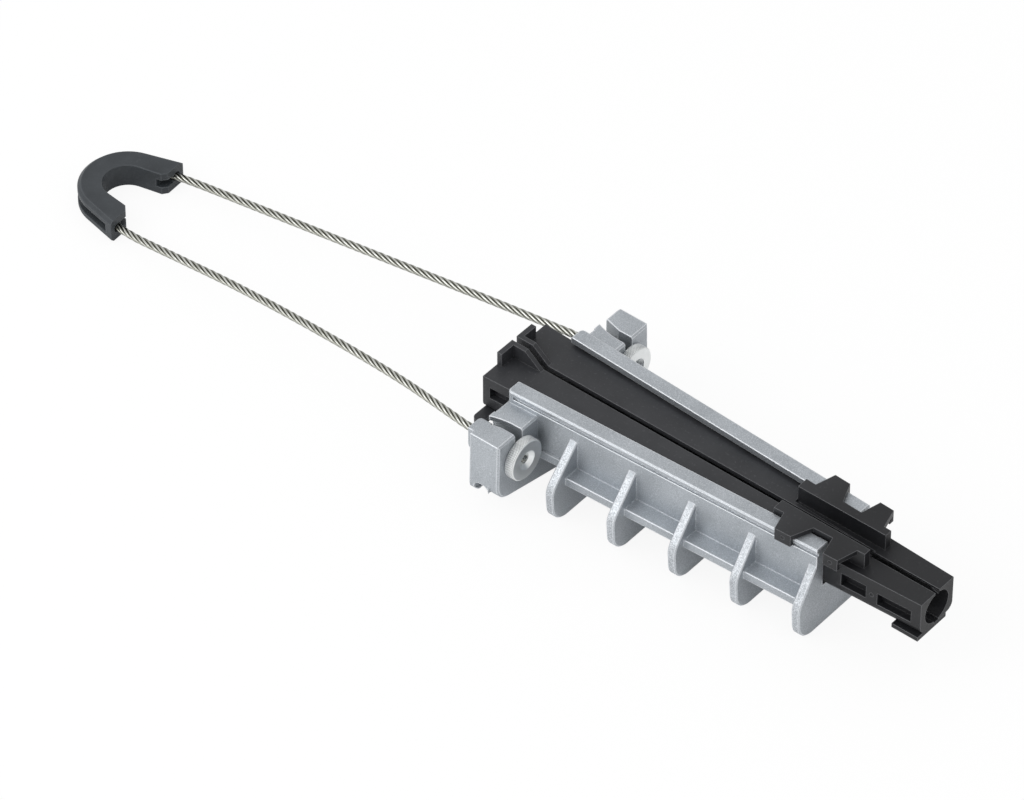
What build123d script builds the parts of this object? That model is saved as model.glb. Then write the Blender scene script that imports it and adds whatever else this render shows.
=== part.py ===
from build123d import *
from math import cos, radians, sin, tan
import os

# Dead-end anchor clamp for round cable, in millimetres.
# x runs along the cable towards the narrow end, z is up, and x = 0 is the middle rib's mid-plane.
# y = 0 is the plane between the two jaws, and z = 0 is the underside of the ribs.

# Taper shared by the channel walls and the jaws
TAPER_DEG = 2.54
SLOPE = tan(radians(TAPER_DEG))

# Casting: cross ribs
RIB_COUNT = 5
RIB_PITCH = 29.5
RIB_THICK = 4.0
RIB_REACH = 33.0
RIB_REACH_SLOPE = 0.088
RIB_WALL_TOP = 35.6
RIB_SHOULDER = 18.5
RIB_DRAFT = 1.2
RIB_TOE_ROUND = 9.0
RIB_SHOULDER_ROUND = 9.0
RIB_EDGE = 0.5

# Casting: channel
WALL_OUT = 19.87
WALL_START = -92.5
RIM_TOP = 44.5
RIM_WIDTH = 7.0
RIM_EDGE = 0.5
LIP_UNDER = 41.5
WALL_THICK = 4.5
WALL_END_ROUND = 2.0
FLOOR_UNDER = 17.4
FLOOR_TOP = 22.2
LEDGE_TOP = 21.4
LEDGE_WIDE = 7.5
LEDGE_NARROW = 0.8
GROOVE_DEPTH = 1.0
GROOVE_HEIGHT = 1.6
GROOVE_FROM_TOP = 2.0
GROOVE_START = -89.5

# Wire rope bail
ROPE_R = 1.75
LEG_Y = 35.3
LEG_Z = 25.7
SLOT_CLEAR = 0.5
SEAT_CLEAR = 0.05
FERRULE_R = 9.5
FERRULE_THICK = 4.5
FERRULE_EDGE = 0.5
FERRULE_MOUTH_R = 4.0
FERRULE_MOUTH_DEPTH = 1.2
FERRULE_HOLE_R = 2.6
ROPE_END_DEPTH = 1.9
LEG_BENDS = ((-101.0, LEG_Y, LEG_Z), (-150.0, 29.4, 24.2), (-230.0, 23.6, 16.4))
LEG_BEND_RADII = (110.0, 500.0, 500.0)
SADDLE_BEND_RADIUS = 40.0
SADDLE_BEND_BEYOND = 6.0

# Casting: slotted ears, joined by a hollow beam under the channel
EAR_FACE = -77.0
EAR_BACK = WALL_START
EAR_BEYOND_LEG = 12.7
EAR_HALF = LEG_Y + EAR_BEYOND_LEG
EAR_TOP = 38.6
EAR_FOOT = 9.0
EAR_FOOT_LEAN = 0.8
EAR_FOOT_ROUND = 9.0
EAR_KEEL_HALF = 9.0
EAR_EDGE = 0.8
EAR_FRONT_WALL = 5.0
EAR_BACK_WALL = 3.0
EAR_HEEL = 8.6
EAR_HEEL_ROUND = 1.2
EAR_HEEL_CORNER = 2.5
EAR_HOLLOW_TOP = 14.0
EAR_HOLLOW_ROUND = 3.0
SLOT_LIP_THICK = 2.4
SLOT_LIP_REACH = 2.3
SLOT_LIP_LENGTH = 12.5
MOUTH_LENGTH = 8.5
MOUTH_FLARE = 2.8
GUIDE_REACH = 3.4
GUIDE_ROOT = 3.5
GUIDE_WIDTH = 8.6
GUIDE_HEIGHT = 10.5
GUIDE_ROUND = 2.6
GUIDE_SLOT_ROUND = 1.2

# Rope saddle: a horseshoe that stands a little turned in the bail
SADDLE_X = -322.0
SADDLE_Y = -0.7
SADDLE_TURN_DEG = 3.5
SADDLE_FLARE_DEG = 9.5
SADDLE_OUTER_FLARE_DEG = 15.0
SADDLE_OUTER_R = 21.0
SADDLE_COVER = 1.2
SADDLE_ROPE_R = SADDLE_OUTER_R - SADDLE_COVER - ROPE_R
SADDLE_WEB = 7.55
SADDLE_INNER_R = SADDLE_ROPE_R - SADDLE_WEB
SADDLE_END = 11.0
SADDLE_HEIGHT = 11.2
SADDLE_EDGE = 1.5
SADDLE_TIP_CHAMFER = 2.0
CHANNEL_HEIGHT = 4.4
COLLAR_LENGTH = 3.8
COLLAR_CLEAR = 0.45
SLIT_LENGTH = 4.5
SLIT_HEIGHT = 4.0

# Jaws
JAW_START = -108.5
JAW_END = 107.9
JAW_BOTTOM = FLOOR_TOP + 0.1
JAW_TOP = 40.0
JAW_NOSE_TOP = 38.9
JAW_SIDE_CLEAR = 0.08
JAW_LOWER_ROUND = 3.6
JAW_GAP = 2.8
BORE_R = 7.6
BORE_Z = 30.4
TAB_THICK = 2.4
TAB_HALF = 11.0
TAB_TOP = 46.7
TAB_RIB_WIDTH = 2.1
TAB_RIB_FLAT = -100.0
TAB_RIB_FOOT = -91.7
STRIP_TOP = 47.0
STRIP_START = 34.0
STRIP_END = 78.0
STRIP_INNER = 5.1
STRIP_LIP_CLEAR = 0.8
ARM_CLEAR = 0.2
CLAW_BEYOND = 1.7
CLAW_CLEAR = 0.3
ARMS = ((38.8, 53.2, 41.5, 49.2), (62.5, 74.4, 64.9, 71.8))
WINDOWS = ((-105.0, -80.0, 29.5, 35.3), (69.6, 81.6, 27.5, 34.0), (87.0, 103.2, 27.0, 33.0))
WINDOW_DEPTH = 3.2
PIN_MARK_R = 0.9
PIN_MARK_DEPTH = 0.2
PLATE_UNDER = 20.0
WING_WIDTH = 5.5
WING_HALF = 27.5
WING_ROUND = 2.5
TONGUE_START = 95.0
TONGUE_NEAR = 12.0
TONGUE_FAR = 6.5
TONGUE_CLEAR = 0.2


# Half width of the channel's outside at a place along x
def wall_half(x):
    return WALL_OUT - SLOPE * x


# How far a rib reaches out from the middle
def rib_reach(x):
    return RIB_REACH - RIB_REACH_SLOPE * x


# Closed outline of a tapered strip that is symmetric about y = 0
def tapered_outline(start, end, inset):
    left = wall_half(start) - inset
    right = wall_half(end) - inset
    Polyline((start, -left), (end, -right), (end, right), (start, left), close=True)


# Closed outline of a band that follows the channel's side, between two distances from it
def side_band(start, end, near, far, tip_start=None, tip_end=None):
    tip_start = start if tip_start is None else tip_start
    tip_end = end if tip_end is None else tip_end
    Polyline(
        (start, wall_half(start) + near),
        (end, wall_half(end) + near),
        (tip_end, wall_half(tip_end) + far),
        (tip_start, wall_half(tip_start) + far),
        close=True,
    )


# Outline of one side mirrored to the other, closed across y = 0
def both_sides(points):
    other = [(a, -b) for a, b in reversed(points)]
    Polyline(*points, *other, close=True)


# Same for an outline seen along x, where the first number is the distance from the middle
def both_sides_upright(points):
    other = [(-a, b) for a, b in reversed(points)]
    Polyline(*points, *other, close=True)


# Route of straight runs joined by tangent arcs; each bend has its own radius
def rounded_route(points, radii):
    runs = [Vector(*p) for p in points]
    start = runs[0]
    for i, radius in enumerate(radii):
        corner = runs[i + 1]
        back = (runs[i] - corner).normalized()
        ahead = (runs[i + 2] - corner).normalized()
        half_turn = radians(180.0 - back.get_angle(ahead)) / 2.0
        reach = radius * tan(half_turn)
        enter = corner + back * reach
        leave = corner + ahead * reach
        middle = (back + ahead).normalized()
        nearest = corner + middle * (radius / cos(half_turn) - radius)
        Line(start, enter)
        ThreePointArc(enter, nearest, leave)
        start = leave
    Line(start, runs[-1])


slot_half = ROPE_R + SLOT_CLEAR
groove_top = RIM_TOP - GROOVE_FROM_TOP
groove_under = groove_top - GROOVE_HEIGHT
rib_places = [RIB_PITCH * (i - (RIB_COUNT - 1) / 2) for i in range(RIB_COUNT)]
ledge_start = rib_places[0]
nose_end = rib_places[-1] + RIB_THICK / 2


# One cross rib with rounded toes and shoulders
def build_rib(place):
    reach = rib_reach(place)
    wall = wall_half(place)
    with BuildPart() as rib:
        with BuildSketch(Plane.YZ.offset(place - RIB_THICK / 2)) as profile:
            with BuildLine():
                both_sides_upright([
                    (reach - RIB_DRAFT, 0.0),
                    (reach, RIB_SHOULDER),
                    (wall, RIB_WALL_TOP),
                    (wall - WALL_THICK / 2, RIB_WALL_TOP),
                ])
            make_face()
            toes = profile.vertices().group_by(Axis.Y)[0]
            fillet(toes, radius=RIB_TOE_ROUND)
            shoulders = profile.vertices().filter_by(lambda v: abs(v.Y - RIB_SHOULDER) < 0.01)
            fillet(shoulders, radius=RIB_SHOULDER_ROUND)
        extrude(amount=RIB_THICK)
        ends = rib.faces().sort_by(Axis.X)
        chamfer(ends[0].edges() + ends[-1].edges(), length=RIB_EDGE)
    return rib.part


# Both ears and the beam that joins them under the channel
with BuildPart() as ear_beam:
    # Deep front wall, which hangs down like a rib
    with BuildSketch(Plane.YZ.offset(EAR_FACE - EAR_FRONT_WALL)) as front:
        with BuildLine():
            both_sides_upright([
                (EAR_KEEL_HALF, 0.0),
                (EAR_HALF + EAR_FOOT_LEAN, EAR_FOOT),
                (EAR_HALF, EAR_TOP),
            ])
        make_face()
        feet = front.vertices().filter_by(lambda v: abs(v.Y - EAR_FOOT) < 0.01)
        fillet(feet, radius=EAR_FOOT_ROUND)
    extrude(amount=EAR_FRONT_WALL)
    chamfer(ear_beam.faces().sort_by(Axis.X)[-1].edges(), length=EAR_EDGE)
    # Shallower block behind it
    with BuildSketch(Plane.YZ.offset(EAR_BACK)) as block:
        with BuildLine():
            both_sides_upright([(EAR_HALF + EAR_FOOT_LEAN, EAR_HEEL), (EAR_HALF, EAR_TOP)])
        make_face()
        fillet(block.vertices().group_by(Axis.Y)[0], radius=EAR_HEEL_CORNER)
    extrude(amount=EAR_FACE - EAR_FRONT_WALL - EAR_BACK)
    chamfer(ear_beam.faces().sort_by(Axis.X)[0].edges(), length=EAR_EDGE)
    # Hollow between the two walls, open below
    with BuildSketch(Plane.XZ) as hollow:
        with BuildLine():
            Polyline(
                (EAR_BACK + EAR_BACK_WALL + EAR_HEEL_ROUND, EAR_HEEL),
                (EAR_BACK + EAR_BACK_WALL, EAR_HEEL + EAR_HEEL_ROUND),
                (EAR_BACK + EAR_BACK_WALL, EAR_HOLLOW_TOP),
                (EAR_FACE - EAR_FRONT_WALL, EAR_HOLLOW_TOP),
                (EAR_FACE - EAR_FRONT_WALL, EAR_HEEL),
                close=True,
            )
        make_face()
        fillet(hollow.vertices().group_by(Axis.Y)[-1], radius=EAR_HOLLOW_ROUND)
    extrude(amount=EAR_HALF + 2 * EAR_FOOT_LEAN, both=True, mode=Mode.SUBTRACT)
    # Rope slots, open at the top and round at the bottom
    slot_bottom = LEG_Z - ROPE_R - SEAT_CLEAR
    slot_height = EAR_TOP - slot_bottom + slot_half
    with BuildSketch(Plane.YZ.offset(EAR_BACK)):
        for side in (-1, 1):
            with Locations((side * LEG_Y, slot_bottom + slot_height / 2)):
                SlotOverall(slot_height, 2 * slot_half, rotation=90)
    extrude(amount=EAR_FACE - EAR_BACK, mode=Mode.SUBTRACT)
    # Slot mouths that open outward where the rope comes in
    with BuildSketch(Plane.XY.offset(EAR_TOP)):
        for side in (-1, 1):
            with BuildLine():
                Polyline(
                    (EAR_BACK + MOUTH_LENGTH, side * LEG_Y),
                    (EAR_BACK + MOUTH_LENGTH, side * (LEG_Y + slot_half)),
                    (EAR_BACK - 2, side * (LEG_Y + slot_half + MOUTH_FLARE)),
                    (EAR_BACK - 2, side * LEG_Y),
                    close=True,
                )
            make_face()
    extrude(amount=LEG_Z - EAR_TOP, mode=Mode.SUBTRACT)
    # Thin lip over the inner side of each slot
    lip_root = LEG_Y - slot_half
    with BuildSketch(Plane.XY.offset(EAR_TOP - SLOT_LIP_THICK)):
        for side in (-1, 1):
            with BuildLine():
                ThreePointArc(
                    (EAR_BACK, side * (lip_root + SLOT_LIP_REACH)),
                    (EAR_BACK + SLOT_LIP_LENGTH / 2, side * (lip_root + SLOT_LIP_REACH / 4)),
                    (EAR_BACK + SLOT_LIP_LENGTH, side * lip_root),
                )
                Polyline(
                    (EAR_BACK + SLOT_LIP_LENGTH, side * lip_root),
                    (EAR_BACK + SLOT_LIP_LENGTH, side * (lip_root - 1)),
                    (EAR_BACK, side * (lip_root - 1)),
                    (EAR_BACK, side * (lip_root + SLOT_LIP_REACH)),
                )
            make_face()
    extrude(amount=SLOT_LIP_THICK)

# Rounded guide at the mouth of the near slot
with BuildPart() as rope_guide:
    guide_y = -LEG_Y - slot_half
    with Locations((EAR_BACK + GUIDE_ROOT, guide_y, EAR_TOP)):
        Box(GUIDE_ROOT + GUIDE_REACH, GUIDE_WIDTH, GUIDE_HEIGHT, align=(Align.MAX, Align.MAX, Align.MAX))
    fillet(rope_guide.faces().sort_by(Axis.X)[0].edges(), radius=GUIDE_ROUND)
    slot_side = rope_guide.faces().sort_by(Axis.Y)[-1].edges().sort_by(Axis.Z)[-1]
    fillet(slot_side, radius=GUIDE_SLOT_ROUND)

# The casting: lipped walls, floor, ribs and ears in one piece
with BuildPart() as clamp_body:
    # Side walls as one block, hollowed below
    with BuildSketch(Plane.XY.offset(FLOOR_UNDER)):
        with BuildLine():
            tapered_outline(WALL_START, nose_end, 0.0)
        make_face()
    extrude(amount=RIM_TOP - FLOOR_UNDER)
    corners = clamp_body.edges().filter_by(Axis.Z).group_by(Axis.X)[0]
    fillet(corners, radius=WALL_END_ROUND)
    chamfer(clamp_body.faces().sort_by(Axis.Z)[-1].edges(), length=RIM_EDGE)
    # Floor plate with its ledges
    with BuildSketch(Plane.XY.offset(FLOOR_UNDER)):
        with BuildLine():
            both_sides([
                (EAR_FACE, wall_half(EAR_FACE) + LEDGE_NARROW),
                (ledge_start, wall_half(ledge_start) + LEDGE_NARROW),
                (ledge_start, wall_half(ledge_start) + LEDGE_WIDE),
                (nose_end, wall_half(nose_end) + LEDGE_WIDE),
            ])
        make_face()
    extrude(amount=LEDGE_TOP - FLOOR_UNDER)
    for place in rib_places:
        add(build_rib(place))
    add(ear_beam)
    add(rope_guide)
    # Channel for the jaws: wide below the lips, narrower between them
    with BuildSketch(Plane.XY.offset(FLOOR_TOP)):
        with BuildLine():
            tapered_outline(WALL_START - 1, nose_end + 1, WALL_THICK)
        make_face()
    extrude(amount=LIP_UNDER - FLOOR_TOP, mode=Mode.SUBTRACT)
    with BuildSketch(Plane.XY.offset(LIP_UNDER)):
        with BuildLine():
            tapered_outline(WALL_START - 1, nose_end + 1, RIM_WIDTH)
        make_face()
    extrude(amount=RIM_TOP - LIP_UNDER, mode=Mode.SUBTRACT)
    # Claw groove along the outside of both rims
    with BuildSketch(Plane.XY.offset(groove_under)):
        with BuildLine():
            tapered_outline(GROOVE_START, nose_end + 1, -GROOVE_DEPTH)
        make_face()
        with BuildLine():
            tapered_outline(GROOVE_START, nose_end + 1, GROOVE_DEPTH)
        make_face(mode=Mode.SUBTRACT)
    extrude(amount=GROOVE_HEIGHT, mode=Mode.SUBTRACT)

clamp_body.part.label = "clamp_body"


# One jaw, built on the +y side
def build_jaw():
    inset = WALL_THICK + JAW_SIDE_CLEAR
    strip_out = RIM_WIDTH + STRIP_LIP_CLEAR
    arm_under = RIM_TOP + ARM_CLEAR
    claw_under = groove_under + ARM_CLEAR
    inner = JAW_GAP / 2
    with BuildPart() as jaw:
        with BuildSketch(Plane.XY.offset(JAW_BOTTOM)):
            with BuildLine():
                Polyline(
                    (JAW_START, inner),
                    (JAW_END, inner),
                    (JAW_END, wall_half(JAW_END) - inset),
                    (JAW_START, wall_half(JAW_START) - inset),
                    close=True,
                )
            make_face()
        extrude(amount=JAW_TOP - JAW_BOTTOM)
        lower_edge = jaw.faces().sort_by(Axis.Z)[0].edges().sort_by(Axis.Y)[-1]
        fillet(lower_edge, radius=JAW_LOWER_ROUND)
        # The top steps down from the strip onward
        with BuildSketch(Plane.XY.offset(JAW_NOSE_TOP)):
            with BuildLine():
                side_band(STRIP_START, JAW_END, -wall_half(JAW_END), 0.0)
            make_face()
        extrude(amount=JAW_TOP - JAW_NOSE_TOP, mode=Mode.SUBTRACT)
        # Wing at the wide end, which meets the casting when the jaw is pushed right in
        with BuildSketch(Plane.XY.offset(PLATE_UNDER)) as wing:
            with Locations((JAW_START, inner)):
                Rectangle(WING_WIDTH, WING_HALF - inner, align=(Align.MIN, Align.MIN))
            fillet(wing.vertices().group_by(Axis.Y)[-1], radius=WING_ROUND)
        extrude(amount=JAW_BOTTOM - PLATE_UNDER)
        # Thumb tab and its rib
        with BuildSketch(Plane.XY.offset(JAW_TOP)):
            with Locations((JAW_START, inner)):
                Rectangle(TAB_THICK, TAB_HALF - inner, align=(Align.MIN, Align.MIN))
        extrude(amount=TAB_TOP - JAW_TOP)
        with BuildSketch(Plane.XZ.offset(-inner)):
            with BuildLine():
                Polyline(
                    (JAW_START, JAW_TOP),
                    (TAB_RIB_FOOT, JAW_TOP),
                    (TAB_RIB_FLAT, TAB_TOP),
                    (JAW_START, TAB_TOP),
                    close=True,
                )
            make_face()
        extrude(amount=-TAB_RIB_WIDTH)
        # Raised strip that stands between the rims
        with BuildSketch(Plane.XY.offset(JAW_NOSE_TOP)):
            with BuildLine():
                Polyline(
                    (STRIP_START, STRIP_INNER),
                    (STRIP_END, STRIP_INNER),
                    (STRIP_END, wall_half(STRIP_END) - strip_out),
                    (STRIP_START, wall_half(STRIP_START) - strip_out),
                    close=True,
                )
            make_face()
        extrude(amount=STRIP_TOP - JAW_NOSE_TOP)
        # Arms over the rim with claws that hook into the groove
        for root_a, root_b, tip_a, tip_b in ARMS:
            with BuildSketch(Plane.XY.offset(arm_under)):
                with BuildLine():
                    side_band(root_a, root_b, -strip_out - 1.0, -strip_out)
                make_face()
                with BuildLine():
                    side_band(root_a, root_b, -strip_out, CLAW_BEYOND, tip_a, tip_b)
                make_face()
            extrude(amount=STRIP_TOP - arm_under)
            with BuildSketch(Plane.XY.offset(claw_under)):
                with BuildLine():
                    side_band(tip_a, tip_b, CLAW_CLEAR, CLAW_BEYOND)
                make_face()
            extrude(amount=arm_under - claw_under)
            with BuildSketch(Plane.XY.offset(claw_under)):
                with BuildLine():
                    side_band(tip_a, tip_b, CLAW_CLEAR - GROOVE_DEPTH, CLAW_CLEAR)
                make_face()
            extrude(amount=GROOVE_HEIGHT - 2 * ARM_CLEAR)
        # Round moulding marks on the arms' end faces and on the pillar between the nose windows
        taper = radians(TAPER_DEG)
        outward = (sin(taper), cos(taper), 0)
        for root_a, root_b, tip_a, tip_b in ARMS:
            tip_mid = (tip_a + tip_b) / 2
            mark = (tip_mid, wall_half(tip_mid) + CLAW_BEYOND, (STRIP_TOP + claw_under) / 2)
            with BuildSketch(Plane(origin=mark, z_dir=outward)):
                Circle(PIN_MARK_R)
            extrude(amount=-PIN_MARK_DEPTH, mode=Mode.SUBTRACT)
        pillar_x = (WINDOWS[1][1] + WINDOWS[2][0]) / 2
        pillar_z = (WINDOWS[1][2] + WINDOWS[1][3]) / 2
        pillar = (pillar_x, wall_half(pillar_x) - inset, pillar_z)
        with BuildSketch(Plane(origin=pillar, z_dir=outward)):
            Circle(PIN_MARK_R)
        extrude(amount=-PIN_MARK_DEPTH, mode=Mode.SUBTRACT)
        # Side windows
        for start, end, low, high in WINDOWS:
            with BuildSketch(Plane.XY.offset(low)):
                with BuildLine():
                    side_band(start, end, -inset - WINDOW_DEPTH, 0.0)
                make_face()
            extrude(amount=high - low, mode=Mode.SUBTRACT)
        # Half of the cable groove
        with BuildSketch(Plane.YZ.offset(JAW_START)):
            with Locations((0, BORE_Z)):
                Circle(BORE_R)
        extrude(amount=JAW_END - JAW_START, mode=Mode.SUBTRACT)
    return jaw.part


far_jaw = build_jaw()

with BuildPart() as far_wedge:
    add(far_jaw)

far_wedge.part.label = "far_wedge"

with BuildPart() as near_wedge:
    add(mirror(far_jaw, about=Plane.XZ, mode=Mode.PRIVATE))
    # Flat tongue under both jaws at the narrow end, joined to this one only
    tongue_top = JAW_BOTTOM - TONGUE_CLEAR
    with BuildSketch(Plane.XY.offset(PLATE_UNDER)):
        with BuildLine():
            Polyline(
                (TONGUE_START, -TONGUE_NEAR),
                (JAW_END, -TONGUE_NEAR),
                (JAW_END, TONGUE_FAR),
                (TONGUE_START, TONGUE_FAR),
                close=True,
            )
        make_face()
    extrude(amount=tongue_top - PLATE_UNDER)
    joint_width = wall_half(JAW_END) - WALL_THICK - JAW_SIDE_CLEAR - JAW_LOWER_ROUND - JAW_GAP / 2
    with BuildSketch(Plane.XY.offset(tongue_top)):
        with Locations((TONGUE_START, -JAW_GAP / 2)):
            Rectangle(JAW_END - TONGUE_START, joint_width, align=(Align.MIN, Align.MAX))
    extrude(amount=TONGUE_CLEAR)

near_wedge.part.label = "near_wedge"

# The saddle's own plane, turned about its middle
saddle_turn = radians(SADDLE_TURN_DEG)
saddle_plane = Plane(
    origin=(SADDLE_X, SADDLE_Y, 0),
    x_dir=(cos(saddle_turn), sin(saddle_turn), 0),
    z_dir=(0, 0, 1),
)
saddle_mid = SADDLE_HEIGHT / 2


# Distance of a leaning leg from the saddle's own x axis
def leg_offset(radius, x, flare_deg=SADDLE_FLARE_DEG):
    flare = radians(flare_deg)
    return (radius + x * sin(flare)) / cos(flare)


# Where a leg leaves the arc of the given radius
def leg_touch(radius, side, flare_deg=SADDLE_FLARE_DEG):
    flare = radians(flare_deg)
    return (-radius * sin(flare), side * radius * cos(flare))


# Horseshoe of one radius: the arc and its two leaning legs, closed across the open end
def horseshoe_outline(radius, end, flare_deg=SADDLE_FLARE_DEG):
    far_touch = leg_touch(radius, 1, flare_deg)
    near_touch = leg_touch(radius, -1, flare_deg)
    tip_y = leg_offset(radius, end, flare_deg)
    ThreePointArc(far_touch, (-radius, 0), near_touch)
    Polyline(near_touch, (end, -tip_y), (end, tip_y), far_touch)


# A point of the rope's mid line in the saddle
def saddle_point(x, y):
    place = saddle_plane.from_local_coords(Vector(x, y, saddle_mid))
    return (place.X, place.Y, place.Z)


# Points of one leg of the rope, from its end in the sleeve to the saddle's arc
def leg_points(side):
    bend_x = SADDLE_END + SADDLE_BEND_BEYOND
    return [
        (ferrule_front - ROPE_END_DEPTH, side * LEG_Y, LEG_Z),
        *[(x, side * y, z) for x, y, z in LEG_BENDS],
        saddle_point(bend_x, side * leg_offset(SADDLE_ROPE_R, bend_x)),
        saddle_point(*leg_touch(SADDLE_ROPE_R, side)),
    ]


ferrule_front = EAR_FACE + SEAT_CLEAR + FERRULE_THICK
leg_radii = [*LEG_BEND_RADII, SADDLE_BEND_RADIUS]

# Rope: one run from sleeve to sleeve, round the saddle
with BuildPart() as bail_rope:
    with BuildLine() as route:
        rounded_route(leg_points(1), leg_radii)
        ThreePointArc(
            saddle_point(*leg_touch(SADDLE_ROPE_R, 1)),
            saddle_point(-SADDLE_ROPE_R, 0),
            saddle_point(*leg_touch(SADDLE_ROPE_R, -1)),
        )
        rounded_route(list(reversed(leg_points(-1))), list(reversed(leg_radii)))
    with BuildSketch(Plane(origin=route.wire() @ 0, z_dir=route.wire() % 0)):
        Circle(ROPE_R)
    sweep(path=route.wire())

bail_rope.part.label = "bail_rope"


# One stop sleeve, seated on the ear's face
def build_ferrule(side):
    with BuildPart() as ferrule:
        with BuildSketch(Plane.YZ.offset(EAR_FACE + SEAT_CLEAR)):
            with Locations((side * LEG_Y, LEG_Z)):
                Circle(FERRULE_R)
        extrude(amount=FERRULE_THICK)
        chamfer(ferrule.faces().sort_by(Axis.X)[-1].edges(), length=FERRULE_EDGE)
        with BuildSketch(Plane.YZ.offset(EAR_FACE + SEAT_CLEAR)):
            with Locations((side * LEG_Y, LEG_Z)):
                Circle(ROPE_R + SEAT_CLEAR)
        extrude(amount=FERRULE_THICK, mode=Mode.SUBTRACT)
        with BuildSketch(Plane.YZ.offset(ferrule_front)):
            with Locations((side * LEG_Y, LEG_Z)):
                Circle(FERRULE_HOLE_R)
        extrude(amount=-ROPE_END_DEPTH, mode=Mode.SUBTRACT)
        rim = ferrule.edges().filter_by(GeomType.CIRCLE).group_by(Axis.X)[-1].sort_by(SortBy.RADIUS)[0]
        chamfer(rim, length=FERRULE_MOUTH_DEPTH, length2=FERRULE_MOUTH_R - FERRULE_HOLE_R)
    return ferrule.part


with BuildPart() as near_ferrule:
    add(build_ferrule(-1))

near_ferrule.part.label = "near_ferrule"

with BuildPart() as far_ferrule:
    add(build_ferrule(1))

far_ferrule.part.label = "far_ferrule"

# Saddle: a horseshoe with the rope channel round its outside and a collar at each end
with BuildPart() as saddle:
    with BuildSketch(saddle_plane) as plan:
        with BuildLine():
            horseshoe_outline(SADDLE_OUTER_R, SADDLE_END, SADDLE_OUTER_FLARE_DEG)
        make_face()
        with BuildLine():
            horseshoe_outline(SADDLE_INNER_R, SADDLE_END + 1)
        make_face(mode=Mode.SUBTRACT)
        tips = plan.vertices().group_by(Axis.X)[-1].sort_by(Axis.Y)[1:3]
        chamfer(tips, length=SADDLE_TIP_CHAMFER)
    extrude(amount=SADDLE_HEIGHT)
    faces = saddle.faces().sort_by(Axis.Z)
    for edges in (faces[0].edges(), faces[-1].edges()):
        long_edges = edges.filter_by(lambda e: e.length > SADDLE_END)
        rims = long_edges.filter_by(lambda e: (e.center() - saddle_plane.origin).length > SADDLE_ROPE_R)
        chamfer(rims, length=SADDLE_EDGE)
    # Rope channel
    channel_r = SADDLE_ROPE_R - ROPE_R - SEAT_CLEAR
    with BuildSketch(saddle_plane.offset(saddle_mid - CHANNEL_HEIGHT / 2)):
        with BuildLine():
            horseshoe_outline(SADDLE_OUTER_R + 1, SADDLE_END - COLLAR_LENGTH, SADDLE_OUTER_FLARE_DEG)
        make_face()
        with BuildLine():
            horseshoe_outline(channel_r, SADDLE_END)
        make_face(mode=Mode.SUBTRACT)
    extrude(amount=CHANNEL_HEIGHT, mode=Mode.SUBTRACT)
    for side in (-1, 1):
        # Hole through the collar, along the leg
        touch = saddle_point(*leg_touch(SADDLE_ROPE_R, side))
        tip = saddle_point(SADDLE_END, side * leg_offset(SADDLE_ROPE_R, SADDLE_END))
        along = Vector(*tip) - Vector(*touch)
        with BuildSketch(Plane(origin=tip, z_dir=along)):
            Circle(ROPE_R + COLLAR_CLEAR)
        extrude(amount=2 * COLLAR_LENGTH, both=True, mode=Mode.SUBTRACT)
        # Slit from the inside to the rope
        with BuildSketch(saddle_plane.offset(saddle_mid - SLIT_HEIGHT / 2)):
            with Locations((SADDLE_END, side * SADDLE_INNER_R)):
                Rectangle(
                    2 * SLIT_LENGTH,
                    2 * (SADDLE_ROPE_R - SADDLE_INNER_R),
                    align=(Align.CENTER, Align.CENTER),
                )
        extrude(amount=SLIT_HEIGHT, mode=Mode.SUBTRACT)

saddle.part.label = "saddle"

os.makedirs("parts", exist_ok=True)
for built in (clamp_body, near_wedge, far_wedge, bail_rope, near_ferrule, far_ferrule, saddle):
    export_step(built.part, "parts/" + built.part.label + ".step")
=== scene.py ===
import math

import bmesh
import bpy
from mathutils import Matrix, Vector


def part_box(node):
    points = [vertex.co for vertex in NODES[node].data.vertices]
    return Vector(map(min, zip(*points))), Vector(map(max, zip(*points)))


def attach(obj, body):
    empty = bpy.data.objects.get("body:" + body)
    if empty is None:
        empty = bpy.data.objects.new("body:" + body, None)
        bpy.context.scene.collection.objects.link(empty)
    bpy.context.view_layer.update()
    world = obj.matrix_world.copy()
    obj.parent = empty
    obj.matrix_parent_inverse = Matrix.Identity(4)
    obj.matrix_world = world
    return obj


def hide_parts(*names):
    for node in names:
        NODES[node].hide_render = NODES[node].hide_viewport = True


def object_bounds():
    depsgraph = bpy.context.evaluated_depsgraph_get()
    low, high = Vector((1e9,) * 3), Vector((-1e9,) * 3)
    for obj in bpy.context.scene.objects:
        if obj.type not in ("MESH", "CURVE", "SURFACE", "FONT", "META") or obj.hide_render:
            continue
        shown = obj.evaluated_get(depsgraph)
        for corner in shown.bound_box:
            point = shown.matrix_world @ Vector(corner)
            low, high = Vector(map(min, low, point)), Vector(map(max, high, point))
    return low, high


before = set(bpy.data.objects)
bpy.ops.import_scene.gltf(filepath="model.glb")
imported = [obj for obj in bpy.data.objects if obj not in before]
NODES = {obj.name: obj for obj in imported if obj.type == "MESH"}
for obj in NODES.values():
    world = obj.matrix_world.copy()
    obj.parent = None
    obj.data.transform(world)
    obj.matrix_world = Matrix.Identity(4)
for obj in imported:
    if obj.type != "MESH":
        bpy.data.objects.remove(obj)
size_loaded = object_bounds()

# Dead-end anchor clamp, dressed around its CAD frame. Everything is in metres.
FULL_TURN = 2 * math.pi

# Camera
EYE = Vector((1.2147, -1.5984, 1.9775))
LOOK = Vector((-0.4632, 0.5590, -0.6877))
LENS = 244.6
SENSOR_WIDTH = 36.0
NEAREST_SEEN = 0.1
FURTHEST_SEEN = 20.0

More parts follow.
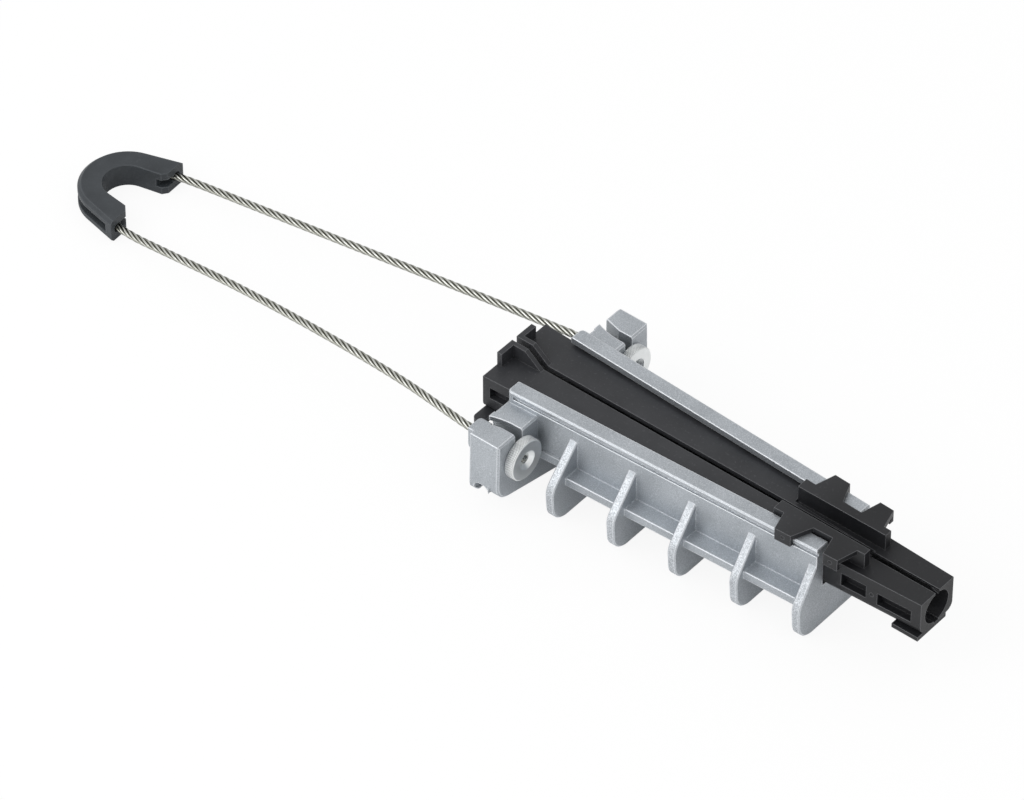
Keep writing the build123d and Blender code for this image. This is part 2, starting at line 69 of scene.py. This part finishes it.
# Studio: paper floor, a sky that is brighter on one side, and one square lamp
FLOOR_SIZE = 6.0
FLOOR_GAP = 0.0002
FLOOR_WHITE = (0.93, 0.93, 0.93, 1.0)
FLOOR_ROUGHNESS = 0.9
FLOOR_GLOW_SEEN = 0.90
FLOOR_GLOW_MIRRORED = 0.12
SKY_WHITE = (1.0, 1.0, 1.0, 1.0)
SKY_TOWARDS = Vector((-0.32, -0.50, 0.80))
SKY_STRENGTH = (0.46, 1.04)
KEY_PLACE = Vector((-0.8, -1.4, 1.3))
KEY_AIM = Vector((-0.1, 0.0, 0.0))
KEY_WIDTH = 1.4
KEY_POWER = 12.5

# Wire rope: six strands laid round a core
ROPE_RADIUS = 0.00175
STRAND_COUNT = 6
STRAND_RADIUS = ROPE_RADIUS / 3
STRAND_WAIST = 0.95
STRAND_WIRES = 6
CORE_SIDES = 8
LAY_LENGTH = 0.024
WIRE_LAY = 0.026
ROPE_STEP = 0.0009

# The rope's route, from the far sleeve round the saddle to the near sleeve
ROUTE = (
    (-0.07400, 0.03530, 0.02570),
    (-0.10100, 0.03530, 0.02570),
    (-0.11400, 0.03374, 0.02530),
    (-0.15000, 0.02940, 0.02420),
    (-0.23000, 0.02360, 0.01640),
    (-0.28500, 0.02205, 0.00862),
    (-0.30632, 0.02144, 0.00560),
    (-0.33251, 0.01540, 0.00560),
    (-0.34042, 0.00480, 0.00560),
    (-0.33961, -0.00840, 0.00560),
    (-0.33047, -0.01796, 0.00560),
    (-0.30374, -0.02077, 0.00560),
    (-0.28500, -0.02149, 0.00834),
    (-0.23000, -0.02360, 0.01640),
    (-0.15000, -0.02940, 0.02420),
    (-0.11400, -0.03374, 0.02530),
    (-0.10100, -0.03530, 0.02570),
    (-0.07400, -0.03530, 0.02570),
)
ROPE_END = ROUTE[0][0]
ROUTE_ORDER = 3
ROUTE_STEPS = 16

# Stop sleeves on the rope's ends
SLEEVE_EDGE = 0.0005
SLEEVE_MOUTH_RADIUS = 0.0046
SLEEVE_MOUTH_DEPTH = 0.0017
SLEEVE_HOLE_RADIUS = 0.0028
SLEEVE_END_DEPTH = 0.0030
SLEEVE_BORE_RADIUS = 0.0018
KNURL_TEETH = 64
KNURL_POINTS = 6
KNURL_DEPTH = 0.00020
TURNING_PITCH = 0.00035

# Where the casting's ribs are: evenly along x on both sides of the middle one, below a height
RIB_PITCH = 0.0295
RIB_LAST = 2
RIB_HALF = 0.0022
RIB_FADE = 0.0010
RIB_TOP = 0.034

# Metal share and sheen of the finishes
CAST_METALLIC = 0.9
STEEL_METALLIC = 1.0
SLEEVE_METALLIC = 0.95
JAW_SHEEN = 0.31
SADDLE_SHEEN = 0.30

# Noise of the finishes: cells per metre, detail, roughness
CAST_GRAIN = (2300.0, 3.0, 0.65)
CAST_CLOUD = (55.0, 4.0, 0.5)
RIB_SAND = (1700.0, 2.0, 0.7)
PLASTIC_GRAIN = (1800.0, 2.0, 0.5)
PLASTIC_CLOUD = (40.0, 4.0, 0.6)
PLASTIC_DUST = (750.0, 3.0, 0.5)
STEEL_GRAIN = (2600.0, 3.0, 0.5)
STEEL_CLOUD = (240.0, 3.0, 0.5)
SLEEVE_CLOUD = (160.0, 4.0, 0.5)

# Bumps of the finishes: how far they stand up, how strongly they show
CAST_RELIEF = (0.0002, 0.45)
SAND_RELIEF = (0.0002, 0.5)
PLASTIC_RELIEF = (0.00005, 0.5)
STEEL_RELIEF = (0.00002, 0.4)
TURNING_RELIEF = (0.00001, 0.3)

# Broken edges: their radius, and how far around them counts for standing proud, in radii
CAST_EDGE = 0.0008
JAW_EDGE = 0.0004
SADDLE_EDGE = 0.0009
EDGE_REACH = 2
EDGE_SAMPLES = 6

# Spreads over the usual range of a noise: what its low and its high end give
NOISE_LOW = 0.3
NOISE_HIGH = 0.7
CLOUD_SHARE = (0.0, 1.0)
CAST_ROUGHNESS = (0.60, 0.42)
PLASTIC_ROUGHNESS = (0.36, 0.52)
STEEL_ROUGHNESS = (0.17, 0.27)
SLEEVE_ROUGHNESS = (0.30, 0.44)

# Spreads over a range of their own: what its two ends give, then where it starts and ends
SHARP_SHARE = (1.0, 0.0, 0.93, 0.999)
PROUD_SHARE = (0.0, 1.0, 0.65, 0.90)
RIB_SHARE = (1.0, 0.0, RIB_HALF, RIB_HALF + RIB_FADE)
RIB_HEIGHT_SHARE = (1.0, 0.0, RIB_TOP - RIB_FADE, RIB_TOP)
RIB_FACING_SHARE = (1.0, 0.2, 0.4, 0.8)
CAST_PIT_SHARE = (0.45, 0.0, 0.28, 0.50)
CAST_SPECK_SHARE = (0.0, 0.6, 0.54, 0.74)
SAND_HOLLOW_SHARE = (0.40, 0.0, 0.32, 0.47)
SAND_GRAIN_SHARE = (0.05, 0.65, 0.47, 0.62)
DUST_SHARE = (0.0, 0.2, 0.60, 0.74)
NARROW_END_SHARE = (0.0, 0.6, 0.028, 0.052)
RIDGE_HIGHLIGHT_SHARE = (0.0, 1.0, 0.90, 1.0)
CUT_END_SHARE = (0.0, 1.0, ROPE_END - 0.00006, ROPE_END - 0.00002)


# Light that a value from 0 to 255 on a screen stands for
def linear(value):
    share = value / 255
    return share / 12.92 if share <= 0.04045 else ((share + 0.055) / 1.055) ** 2.4


# Colour from a screen's values for red, green and blue
def shade(red, green, blue):
    return (linear(red), linear(green), linear(blue), 1.0)


CAST_DARK = shade(170, 175, 180)
CAST_LIGHT = shade(186, 191, 196)
CAST_PITS = shade(128, 131, 136)
CAST_SPECKS = shade(232, 235, 240)
# Worn edges and rib grains, lightened with a painted highlight
CAST_WEAR_AND_HIGHLIGHT = shade(238, 241, 245)
SAND_HOLLOWS = shade(126, 130, 134)
JAW_DARK = shade(42, 43, 46)
JAW_LIGHT = shade(55, 56, 59)
# Colour of dust specks, and of worn edges lightened with a painted highlight
JAW_WEAR_AND_HIGHLIGHT = shade(108, 109, 112)
SADDLE_DARK = shade(40, 44, 48)
SADDLE_LIGHT = shade(63, 67, 71)
SADDLE_WEAR_AND_HIGHLIGHT = shade(80, 84, 88)
# Colour the plastic darkens to towards its narrow end
NARROW_END_DARK = shade(4, 4, 6)
STEEL_DARK = shade(182, 183, 176)
STEEL_LIGHT = shade(226, 227, 223)
# Grease and painted shade where the strands meet
STEEL_GREASE_AND_SHADE = shade(126, 126, 118)
SLEEVE_DARK = shade(236, 239, 239)
SLEEVE_LIGHT = shade(250, 252, 252)
# Painted shade in the knurl grooves
KNURL_GROOVE_SHADE = shade(70, 71, 70)


# A node of any tree, with its settings, and inputs that are linked or given a value
def add_node(tree, kind, values=None, **settings):
    node = tree.nodes.new(kind)
    for name, value in settings.items():
        setattr(node, name, value)
    for name, value in (values or {}).items():
        if isinstance(value, bpy.types.NodeSocket):
            tree.links.new(value, node.inputs[name])
        else:
            node.inputs[name].default_value = value
    return node


def maths(tree, operation, first, second=None):
    values = {0: first}
    if second is not None:
        values[1] = second
    return add_node(tree, "ShaderNodeMath", values, operation=operation).outputs["Value"]


def product(tree, first, second):
    return maths(tree, "MULTIPLY", first, second)


def vector_maths(tree, operation, values, result="Vector"):
    return add_node(tree, "ShaderNodeVectorMath", values, operation=operation).outputs[result]


# One coordinate of a place or a direction
def along_axis(tree, vector, axis):
    return add_node(tree, "ShaderNodeSeparateXYZ", {"Vector": vector}).outputs[axis]


# Place in the piece's own coordinates, so that its finish moves with it
def own_place(tree):
    return add_node(tree, "ShaderNodeTexCoord").outputs["Object"]


def noise(tree, place, scale, detail, roughness):
    values = {"Vector": place, "Scale": scale, "Detail": detail, "Roughness": roughness}
    return add_node(tree, "ShaderNodeTexNoise", values).outputs["Fac"]


# A result that goes evenly from low to high while the value goes from start to end
def spread(tree, value, low, high, start=NOISE_LOW, end=NOISE_HIGH):
    values = {"Value": value, "From Min": start, "From Max": end, "To Min": low, "To Max": high}
    return add_node(tree, "ShaderNodeMapRange", values).outputs["Result"]


def colour_mix(tree, share, first, second):
    values = {"Factor": share, "A": first, "B": second}
    return add_node(tree, "ShaderNodeMix", values, data_type="RGBA").outputs["Result"]


# Gives the shader a bumped surface, on top of another normal where there is one
def bump(tree, shader, height, distance, strength, normal=None):
    values = {"Height": height, "Distance": distance, "Strength": strength}
    if normal is not None:
        values["Normal"] = normal
    bumped = add_node(tree, "ShaderNodeBump", values).outputs["Normal"]
    tree.links.new(bumped, shader.inputs["Normal"])
    return bumped


# A new material, its node tree, and its shader with the given values
def new_material(name, values):
    material = bpy.data.materials.new(name)
    material.use_nodes = True
    shader = material.node_tree.nodes["Principled BSDF"]
    for label, value in values.items():
        shader.inputs[label].default_value = value
    return material, material.node_tree, shader


# Normal of softly broken edges, and a mask that is 1 along those that stand proud
def soft_edges(tree, radius):
    bevel = add_node(tree, "ShaderNodeBevel", {"Radius": radius}, samples=EDGE_SAMPLES)
    rounded = bevel.outputs["Normal"]
    plain = add_node(tree, "ShaderNodeNewGeometry").outputs["Normal"]
    turned = vector_maths(tree, "DOT_PRODUCT", {0: rounded, 1: plain}, "Value")
    sharp = spread(tree, turned, *SHARP_SHARE)
    values = {"Distance": EDGE_REACH * radius}
    shaded = add_node(
        tree, "ShaderNodeAmbientOcclusion", values, samples=EDGE_SAMPLES, only_local=True,
    )
    proud = spread(tree, shaded.outputs["AO"], *PROUD_SHARE)
    return rounded, product(tree, sharp, proud)


# Mask that is 1 on the outer edges of the casting's ribs, and weak on their broad faces
def on_ribs(tree, place):
    x = along_axis(tree, place, "X")
    number = maths(tree, "ROUND", maths(tree, "DIVIDE", x, RIB_PITCH))
    number = maths(tree, "MAXIMUM", maths(tree, "MINIMUM", number, RIB_LAST), -RIB_LAST)
    away = maths(tree, "SUBTRACT", x, product(tree, number, RIB_PITCH))
    near = spread(tree, maths(tree, "ABSOLUTE", away), *RIB_SHARE)
    low = spread(tree, along_axis(tree, place, "Z"), *RIB_HEIGHT_SHARE)
    normal = add_node(tree, "ShaderNodeNewGeometry").outputs["Normal"]
    facing = maths(tree, "ABSOLUTE", along_axis(tree, normal, "X"))
    outer = spread(tree, facing, *RIB_FACING_SHARE)
    return product(tree, product(tree, near, low), outer)


# Blasted cast aluminium: fine grain, coarser on the ribs, cloudy tone, worn edges and rib grains
# lightened with a painted highlight
def cast_aluminium():
    material, tree, shader = new_material("cast_aluminium", {"Metallic": CAST_METALLIC})
    place = own_place(tree)
    grain = noise(tree, place, *CAST_GRAIN)
    cloud = noise(tree, place, *CAST_CLOUD)
    sand = noise(tree, place, *RIB_SAND)
    ribs = on_ribs(tree, place)
    normal, edge = soft_edges(tree, CAST_EDGE)
    hollows = product(tree, ribs, spread(tree, sand, *SAND_HOLLOW_SHARE))
    # The ribs' coarse grain, its specks lightened with a painted highlight on the ribs' narrow
    # faces
    rib_grain_and_highlight = product(tree, ribs, spread(tree, sand, *SAND_GRAIN_SHARE))
    colour = colour_mix(tree, spread(tree, cloud, *CLOUD_SHARE), CAST_DARK, CAST_LIGHT)
    colour = colour_mix(tree, spread(tree, grain, *CAST_PIT_SHARE), colour, CAST_PITS)
    colour = colour_mix(tree, spread(tree, grain, *CAST_SPECK_SHARE), colour, CAST_SPECKS)
    colour = colour_mix(tree, hollows, colour, SAND_HOLLOWS)
    colour = colour_mix(tree, rib_grain_and_highlight, colour, CAST_WEAR_AND_HIGHLIGHT)
    # Proud edges: wear, lightened further as a painted highlight
    colour = colour_mix(tree, edge, colour, CAST_WEAR_AND_HIGHLIGHT)
    tree.links.new(colour, shader.inputs["Base Color"])
    tree.links.new(spread(tree, grain, *CAST_ROUGHNESS), shader.inputs["Roughness"])
    coarse = bump(tree, shader, product(tree, sand, ribs), *SAND_RELIEF, normal)
    bump(tree, shader, grain, *CAST_RELIEF, coarse)
    return material


# Moulded plastic: slight texture, dust specks, worn edges lightened with a painted highlight,
# darker towards the narrow end
def moulded_plastic(name, dark, light, wear_and_highlight, sheen, edge_radius):
    material, tree, shader = new_material(name, {"Specular IOR Level": sheen})
    place = own_place(tree)
    grain = noise(tree, place, *PLASTIC_GRAIN)
    cloud = noise(tree, place, *PLASTIC_CLOUD)
    dust = spread(tree, noise(tree, place, *PLASTIC_DUST), *DUST_SHARE)
    narrow_end = spread(tree, along_axis(tree, place, "X"), *NARROW_END_SHARE)
    normal, edge = soft_edges(tree, edge_radius)
    colour = colour_mix(tree, spread(tree, cloud, *CLOUD_SHARE), dark, light)
    colour = colour_mix(tree, dust, colour, wear_and_highlight)
    # Darker towards the narrow end, at high x
    colour = colour_mix(tree, narrow_end, colour, NARROW_END_DARK)
    # Proud edges: wear, lightened further as a painted highlight
    colour = colour_mix(tree, edge, colour, wear_and_highlight)
    tree.links.new(colour, shader.inputs["Base Color"])
    tree.links.new(spread(tree, cloud, *PLASTIC_ROUGHNESS), shader.inputs["Roughness"])
    bump(tree, shader, grain, *PLASTIC_RELIEF, normal)
    return material


# Stainless strands: grease and painted shade where they meet, a painted highlight on top, clean
# steel on the cut ends
def strand_steel():
    material, tree, shader = new_material("strand_steel", {"Metallic": STEEL_METALLIC})
    place = own_place(tree)
    grain = noise(tree, place, *STEEL_GRAIN)
    cloud = noise(tree, place, *STEEL_CLOUD)
    lift = add_node(tree, "ShaderNodeAttribute", attribute_name="lift").outputs["Fac"]
    # Painted highlight along the tops of the strands, where the lift is near 1
    ridge_highlight = spread(tree, lift, *RIDGE_HIGHLIGHT_SHARE)
    cut_end = spread(tree, along_axis(tree, place, "X"), *CUT_END_SHARE)
    bright = maths(tree, "MAXIMUM", cut_end, ridge_highlight)
    clean = colour_mix(tree, spread(tree, cloud, *CLOUD_SHARE), STEEL_DARK, STEEL_LIGHT)
    # Painted highlight on top and clean cut ends; grease and painted shade between the strands
    colour = colour_mix(tree, bright, STEEL_GREASE_AND_SHADE, clean)
    tree.links.new(colour, shader.inputs["Base Color"])
    tree.links.new(spread(tree, cloud, *STEEL_ROUGHNESS), shader.inputs["Roughness"])
    bump(tree, shader, grain, *STEEL_RELIEF)
    return material


# Turned metal for both sleeves: rings about their middle, painted shade in the knurl grooves,
# slight clouding
def turned_metal(centre_y, centre_z):
    material, tree, shader = new_material("turned_metal", {"Metallic": SLEEVE_METALLIC})
    place = own_place(tree)
    across = maths(tree, "ABSOLUTE", along_axis(tree, place, "Y"))
    values = {"Y": across, "Z": along_axis(tree, place, "Z")}
    spot = add_node(tree, "ShaderNodeCombineXYZ", values).outputs["Vector"]
    middle = (0.0, centre_y, centre_z)
    from_middle = vector_maths(tree, "DISTANCE", {0: spot, 1: middle}, "Value")
    rings = maths(tree, "SINE", product(tree, from_middle, FULL_TURN / TURNING_PITCH))
    cloud = noise(tree, place, *SLEEVE_CLOUD)
    clean = colour_mix(tree, spread(tree, cloud, *CLOUD_SHARE), SLEEVE_DARK, SLEEVE_LIGHT)
    cut = add_node(tree, "ShaderNodeAttribute", attribute_name="knurl_cut").outputs["Fac"]
    # Painted shade, deeper where the knurl groove is deeper
    colour = colour_mix(tree, cut, clean, KNURL_GROOVE_SHADE)
    tree.links.new(colour, shader.inputs["Base Color"])
    tree.links.new(spread(tree, cloud, *SLEEVE_ROUGHNESS), shader.inputs["Roughness"])
    bump(tree, shader, rings, *TURNING_RELIEF)
    return material


def add_object(name, data):
    made = bpy.data.objects.new(name, data)
    bpy.context.scene.collection.objects.link(made)
    return made


def paint(piece, material):
    piece.data.materials.clear()
    piece.data.materials.append(material)


# Stands the camera or the lamp in its place, looking along a direction
def point_along(looker, place, direction):
    looker.location = place
    looker.rotation_mode = "QUATERNION"
    looker.rotation_quaternion = direction.to_track_quat("-Z", "Y")


# Plain mesh of what an object looks like with its modifiers, in a new object
def baked(source, name):
    shown = source.evaluated_get(bpy.context.evaluated_depsgraph_get())
    mesh = bpy.data.meshes.new_from_object(shown)
    mesh.name = name
    return add_object(name, mesh)


# Empty node group for the rope, with an input for each of its sizes
def rope_group():
    tree = bpy.data.node_groups.new("wire_rope", "GeometryNodeTree")
    tree.interface.new_socket("Line", in_out="INPUT", socket_type="NodeSocketGeometry")
    for name in ("Strands", "Wires"):
        tree.interface.new_socket(name, in_out="INPUT", socket_type="NodeSocketInt")
    for name in ("Rope Radius", "Strand Radius", "Strand Waist", "Lay Length", "Wire Lay", "Step"):
        tree.interface.new_socket(name, in_out="INPUT", socket_type="NodeSocketFloat")
    tree.interface.new_socket("Steel", in_out="INPUT", socket_type="NodeSocketMaterial")
    tree.interface.new_socket("Rope", in_out="OUTPUT", socket_type="NodeSocketGeometry")
    return tree


# Solid that an outline makes along a line, closed at its ends
def swept(tree, line, outline):
    values = {"Curve": line, "Profile Curve": outline, "Fill Caps": True}
    return add_node(tree, "GeometryNodeCurveToMesh", values).outputs["Mesh"]


# Stores a value for each point of a line or a mesh, under a name
def stored(tree, geometry, name, value, kind):
    values = {"Geometry": geometry, "Name": name, "Value": value}
    node = add_node(
        tree, "GeometryNodeStoreNamedAttribute", values, data_type=kind, domain="POINT",
    )
    return node.outputs["Geometry"]


# The rope's axis in even steps, with each point's place stored on it
def rope_axis(tree, given):
    line = add_node(tree, "GeometryNodeMeshToCurve", {"Mesh": given["Line"]}).outputs["Curve"]
    values = {"Curve": line, "Length": given["Step"]}
    even = add_node(tree, "GeometryNodeResampleCurve", values, mode="LENGTH").outputs["Curve"]
    here = add_node(tree, "GeometryNodeInputPosition").outputs["Position"]
    return stored(tree, even, "rope_axis", here, "FLOAT_VECTOR")


# One copy of the axis for each strand, all wound round it side by side
def strand_lines(tree, given, axis, along):
    values = {"Geometry": axis, "Amount": given["Strands"]}
    copies = add_node(tree, "GeometryNodeDuplicateElements", values, domain="SPLINE")
    share = maths(tree, "DIVIDE", copies.outputs["Duplicate Index"], given["Strands"])
    turns = maths(tree, "ADD", maths(tree, "DIVIDE", along, given["Lay Length"]), share)
    angle = product(tree, turns, FULL_TURN)
    normal = add_node(tree, "GeometryNodeInputNormal").outputs["Normal"]
    tangent = add_node(tree, "GeometryNodeInputTangent").outputs["Tangent"]
    side = vector_maths(tree, "CROSS_PRODUCT", {0: tangent, 1: normal})
    reach = maths(tree, "SUBTRACT", given["Rope Radius"], given["Strand Radius"])
    forward = product(tree, maths(tree, "COSINE", angle), reach)
    sideways = product(tree, maths(tree, "SINE", angle), reach)
    first = vector_maths(tree, "SCALE", {0: normal, "Scale": forward})
    second = vector_maths(tree, "SCALE", {0: side, "Scale": sideways})
    offset = vector_maths(tree, "ADD", {0: first, 1: second})
    values = {"Geometry": copies.outputs["Geometry"], "Offset": offset}
    return add_node(tree, "GeometryNodeSetPosition", values).outputs["Geometry"]


# The strands, each with the outline of a few wires that twist against the rope's lay
def laid_strands(tree, given, axis):
    along = add_node(tree, "GeometryNodeSplineParameter").outputs["Length"]
    lines = strand_lines(tree, given, axis, along)
    twist = product(tree, maths(tree, "DIVIDE", along, given["Wire Lay"]), -FULL_TURN)
    values = {"Curve": lines, "Tilt": twist}
    twisted = add_node(tree, "GeometryNodeSetCurveTilt", values).outputs["Curve"]
    values = {
        "Points": given["Wires"],
        "Inner Radius": product(tree, given["Strand Radius"], given["Strand Waist"]),
        "Outer Radius": given["Strand Radius"],
        "Twist": 0.0,
    }
    wires = add_node(tree, "GeometryNodeCurveStar", values).outputs["Curve"]
    return swept(tree, twisted, wires)


def round_core(tree, given, axis):
    values = {"Resolution": CORE_SIDES, "Radius": given["Strand Radius"]}
    circle = add_node(tree, "GeometryNodeCurvePrimitiveCircle", values).outputs["Curve"]
    return swept(tree, axis, circle)


# The rope with the lift of each point: how far it is from the axis, as a share of the radius
def with_lift(tree, given, rope):
    here = add_node(tree, "GeometryNodeInputPosition").outputs["Position"]
    values = {"Name": "rope_axis"}
    middle = add_node(tree, "GeometryNodeInputNamedAttribute", values, data_type="FLOAT_VECTOR")
    apart = vector_maths(tree, "DISTANCE", {0: here, 1: middle.outputs["Attribute"]}, "Value")
    lift = maths(tree, "DIVIDE", apart, given["Rope Radius"])
    values = {"Geometry": stored(tree, rope, "lift", lift, "FLOAT"), "Name": "rope_axis"}
    return add_node(tree, "GeometryNodeRemoveAttribute", values).outputs["Geometry"]


# Node tree that turns a line into strands laid round a core
def rope_tree():
    tree = rope_group()
    given = add_node(tree, "NodeGroupInput").outputs
    axis = rope_axis(tree, given)
    both = add_node(tree, "GeometryNodeJoinGeometry")
    tree.links.new(laid_strands(tree, given, axis), both.inputs["Geometry"])
    tree.links.new(round_core(tree, given, axis), both.inputs["Geometry"])
    rope = with_lift(tree, given, both.outputs["Geometry"])
    smooth = add_node(tree, "GeometryNodeSetShadeSmooth", {"Geometry": rope}).outputs["Geometry"]
    values = {"Geometry": smooth}
    real = add_node(tree, "GeometryNodeRealizeInstances", values).outputs["Geometry"]
    values = {"Geometry": real, "Material": given["Steel"]}
    steel = add_node(tree, "GeometryNodeSetMaterial", values).outputs["Geometry"]
    add_node(tree, "NodeGroupOutput", {"Rope": steel})
    return tree


# Smooth line through the rope's route, as a plain mesh
def rope_line():
    curve = bpy.data.curves.new("rope_route", "CURVE")
    curve.dimensions = "3D"
    spline = curve.splines.new("NURBS")
    spline.points.add(len(ROUTE) - 1)
    for point, place in zip(spline.points, ROUTE):
        point.co = (*place, 1.0)
    spline.order_u = ROUTE_ORDER
    spline.use_endpoint_u = True
    spline.resolution_u = ROUTE_STEPS
    route = add_object("rope_route", curve)
    bpy.context.view_layer.update()
    line = baked(route, "rope_line")
    bpy.data.objects.remove(route)
    return line


# The rope, with its strands laid along the line
def build_rope(steel):
    line = rope_line()
    tree = rope_tree()
    values = {
        "Strands": STRAND_COUNT,
        "Wires": STRAND_WIRES,
        "Rope Radius": ROPE_RADIUS,
        "Strand Radius": STRAND_RADIUS,
        "Strand Waist": STRAND_WAIST,
        "Lay Length": LAY_LENGTH,
        "Wire Lay": WIRE_LAY,
        "Step": ROPE_STEP,
        "Steel": steel,
    }
    modifier = line.modifiers.new("wire_rope", "NODES")
    modifier.node_group = tree
    for socket in tree.interface.items_tree:
        if socket.name in values and socket.in_out == "INPUT":
            modifier[socket.identifier] = values[socket.name]
    bpy.context.view_layer.update()
    rope = baked(line, "stranded_rope")
    bpy.data.objects.remove(line)
    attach(rope, "bail")
    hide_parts("bail_rope")


# How deep a knurl groove is at a place counted in teeth: 1 at a whole number, 0 between
def groove(teeth):
    past = teeth % 1.0
    return max(0.0, 1.0 - KNURL_POINTS * min(past, 1.0 - past))


# Rings that a sleeve's skin passes through: x, radius and whether the ring is knurled
def sleeve_rings(low, high, radius, tooth_width):
    rim_start = low.x + SLEEVE_EDGE
    rim_width = high.x - low.x - 2 * SLEEVE_EDGE
    rows = round(rim_width / tooth_width * KNURL_POINTS)
    return [
        (low.x, SLEEVE_BORE_RADIUS, False),
        (low.x, radius - SLEEVE_EDGE, False),
        *[(rim_start + rim_width * row / rows, radius, True) for row in range(rows + 1)],
        (high.x, radius - SLEEVE_EDGE, False),
        (high.x, SLEEVE_MOUTH_RADIUS, False),
        (high.x - SLEEVE_MOUTH_DEPTH, SLEEVE_HOLE_RADIUS, False),
        (high.x - SLEEVE_END_DEPTH, SLEEVE_HOLE_RADIUS, False),
        (high.x - SLEEVE_END_DEPTH, SLEEVE_BORE_RADIUS, False),
    ]


# Closed skin through a sleeve's rings, with the depth of the knurl stored as knurl_cut
def sleeve_mesh(name, low, high):
    middle = (low + high) / 2
    radius = (high.z - low.z) / 2
    tooth_width = FULL_TURN * radius / KNURL_TEETH
    count = KNURL_TEETH * KNURL_POINTS
    skin = bmesh.new()
    cuts = skin.verts.layers.float.new("knurl_cut")
    loops = []
    for x, ring_radius, knurled in sleeve_rings(low, high, radius, tooth_width):
        row = (x - low.x - SLEEVE_EDGE) / tooth_width
        loop = []
        for i in range(count):
            tooth = i / KNURL_POINTS
            cut = max(groove(tooth + row), groove(tooth - row)) if knurled else 0.0
            reach = ring_radius - KNURL_DEPTH * cut
            angle = FULL_TURN * i / count
            y = middle.y + reach * math.cos(angle)
            z = middle.z + reach * math.sin(angle)
            vertex = skin.verts.new((x, y, z))
            vertex[cuts] = cut
            loop.append(vertex)
        loops.append(loop)
    for first, second in zip(loops, loops[1:] + loops[:1]):
        for i in range(count):
            j = (i + 1) % count
            skin.faces.new((first[i], first[j], second[j], second[i]))
    bmesh.ops.recalc_face_normals(skin, faces=skin.faces)
    mesh = bpy.data.meshes.new(name)
    skin.to_mesh(mesh)
    skin.free()
    return mesh


# One stop sleeve with a diamond knurl round its rim, in the place of its node
def build_sleeve(node, name, metal):
    low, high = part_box(node)
    sleeve = add_object(name, sleeve_mesh(name, low, high))
    paint(sleeve, metal)
    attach(sleeve, "bail")
    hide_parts(node)


# White paper: bright to the camera, a faint glow in reflections, and plain white otherwise
def white_paper():
    values = {"Base Color": FLOOR_WHITE, "Roughness": FLOOR_ROUGHNESS}
    material, tree, shader = new_material("paper", values)
    path = add_node(tree, "ShaderNodeLightPath").outputs
    mirrored = maths(tree, "MAXIMUM", path["Is Glossy Ray"], path["Is Transmission Ray"])
    seen = product(tree, path["Is Camera Ray"], FLOOR_GLOW_SEEN)
    share = maths(tree, "MAXIMUM", seen, product(tree, mirrored, FLOOR_GLOW_MIRRORED))
    glow = add_node(tree, "ShaderNodeEmission").outputs["Emission"]
    values = {"Fac": share, 1: shader.outputs["BSDF"], 2: glow}
    mixed = add_node(tree, "ShaderNodeMixShader", values).outputs["Shader"]
    tree.links.new(mixed, tree.nodes["Material Output"].inputs["Surface"])
    return material


# Paper floor just below the object's lowest point
def build_floor():
    half = FLOOR_SIZE / 2
    corners = [(-half, -half, 0), (half, -half, 0), (half, half, 0), (-half, half, 0)]
    mesh = bpy.data.meshes.new("floor")
    mesh.from_pydata(corners, [], [(0, 1, 2, 3)])
    floor = add_object("floor", mesh)
    floor.location = (0, 0, size_loaded[0].z - FLOOR_GAP)
    paint(floor, white_paper())


# Soft sky, brighter towards one side
def build_sky():
    world = bpy.data.worlds.new("studio")
    world.use_nodes = True
    tree = world.node_tree
    back = tree.nodes["Background"]
    back.inputs["Color"].default_value = SKY_WHITE
    way = add_node(tree, "ShaderNodeTexCoord").outputs["Generated"]
    towards = SKY_TOWARDS.normalized()
    facing = vector_maths(tree, "DOT_PRODUCT", {0: way, 1: towards}, "Value")
    strength = spread(tree, facing, *SKY_STRENGTH, start=-1.0, end=1.0)
    tree.links.new(strength, back.inputs["Strength"])
    bpy.context.scene.world = world


def build_key():
    lamp = bpy.data.lights.new("key", "AREA")
    lamp.shape = "SQUARE"
    lamp.size = KEY_WIDTH
    lamp.energy = KEY_POWER
    point_along(add_object("key", lamp), KEY_PLACE, KEY_AIM - KEY_PLACE)


def build_camera():
    lens = bpy.data.cameras.new("camera")
    lens.lens = LENS
    lens.sensor_width = SENSOR_WIDTH
    lens.clip_start = NEAREST_SEEN
    lens.clip_end = FURTHEST_SEEN
    camera = add_object("camera", lens)
    point_along(camera, EYE, LOOK)
    bpy.context.scene.camera = camera


build_camera()

jaw_plastic = moulded_plastic(
    "jaw_plastic", JAW_DARK, JAW_LIGHT, JAW_WEAR_AND_HIGHLIGHT, JAW_SHEEN, JAW_EDGE,
)
saddle_plastic = moulded_plastic(
    "saddle_plastic", SADDLE_DARK, SADDLE_LIGHT, SADDLE_WEAR_AND_HIGHLIGHT, SADDLE_SHEEN, SADDLE_EDGE,
)
sleeve_low, sleeve_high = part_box("far_ferrule")
sleeve_middle = (sleeve_low + sleeve_high) / 2
sleeve_metal = turned_metal(sleeve_middle.y, sleeve_middle.z)

paint(NODES["clamp_body"], cast_aluminium())
paint(NODES["near_wedge"], jaw_plastic)
paint(NODES["far_wedge"], jaw_plastic)
paint(NODES["saddle"], saddle_plastic)
build_rope(strand_steel())
build_sleeve("near_ferrule", "near_sleeve", sleeve_metal)
build_sleeve("far_ferrule", "far_sleeve", sleeve_metal)

build_floor()
build_sky()
build_key()
bpy.context.scene.view_settings.view_transform = "Standard"
